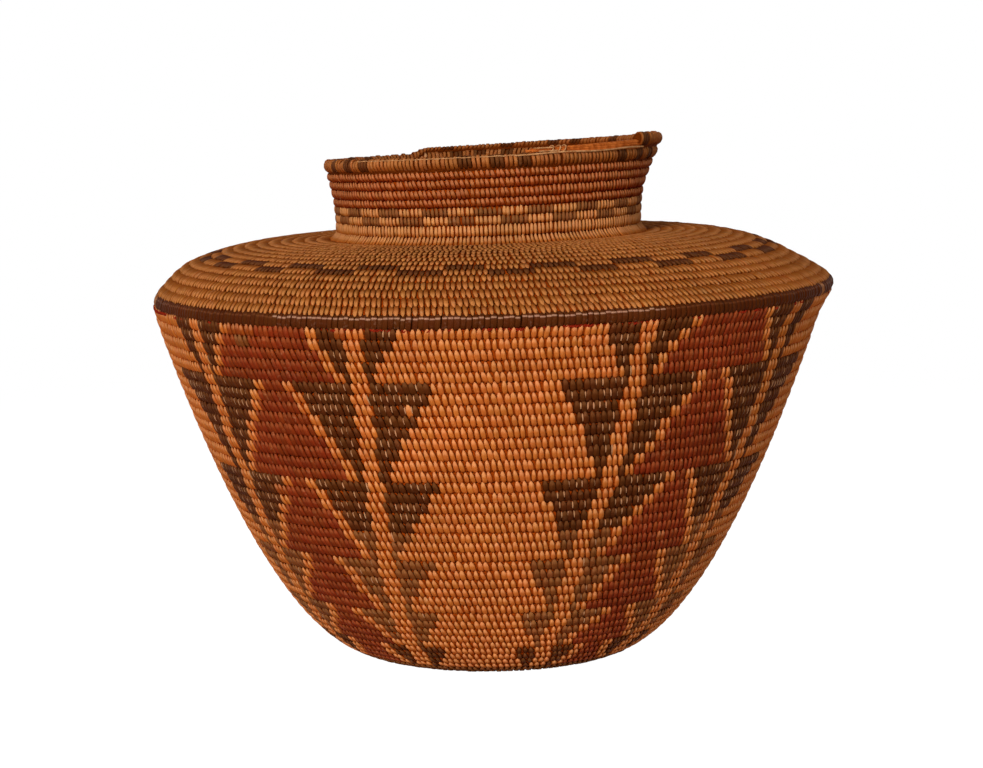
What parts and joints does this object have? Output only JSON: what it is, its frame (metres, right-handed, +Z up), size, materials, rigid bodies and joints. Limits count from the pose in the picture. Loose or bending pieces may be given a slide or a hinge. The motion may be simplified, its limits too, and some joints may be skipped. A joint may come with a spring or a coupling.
{
  "type": "bottleneck basket",
  "caption": "Coiled bottleneck basket with a flaring wall, a sharp shoulder and a short flaring neck, for keeping small things.",
  "frame": {"origin": "middle of the flat underside that the basket stands on", "axes": "+Z up through the mouth, -Y towards the front that the picture shows, +X to its right"},
  "size_m": [0.229, 0.229, 0.1736],
  "materials": {
    "tan_strands": "satin split plant strand sewn over a grass bundle, aged tan",
    "ochre_strands": "satin split plant strand, darker ochre from dust and age",
    "red_brown_strands": "satin split plant strand in red-brown",
    "dark_strands": "glossy dyed plant strand in dark brown",
    "bare_stems": "bare split grass stems",
    "red_yarn": "worn matte yarn"
  },
  "bodies": {
    "root": {"start_knot": "tan_strands", "base_coil": "tan_strands", "heel_coil": "tan_strands", "wall_tier_5_coil": "red_brown_strands", "wall_tier_4_coil": "tan_strands", "wall_tier_3_coil": "red_brown_strands", "wall_tier_2_coil": "tan_strands", "wall_tier_1_coil": "red_brown_strands", "shoulder_yarn": "red_yarn", "shoulder_ridge_coil": "dark_strands", "shoulder_outer_coil": "ochre_strands", "shoulder_block_coil": "dark_strands", "shoulder_inner_coil": "ochre_strands", "neck_foot_coil": "tan_strands", "neck_block_coil": "dark_strands", "neck_body_coil": "red_brown_strands", "rim_coil": "tan_strands", "bare_rim_foundation": "bare_stems"}
  },
  "joints": []
}
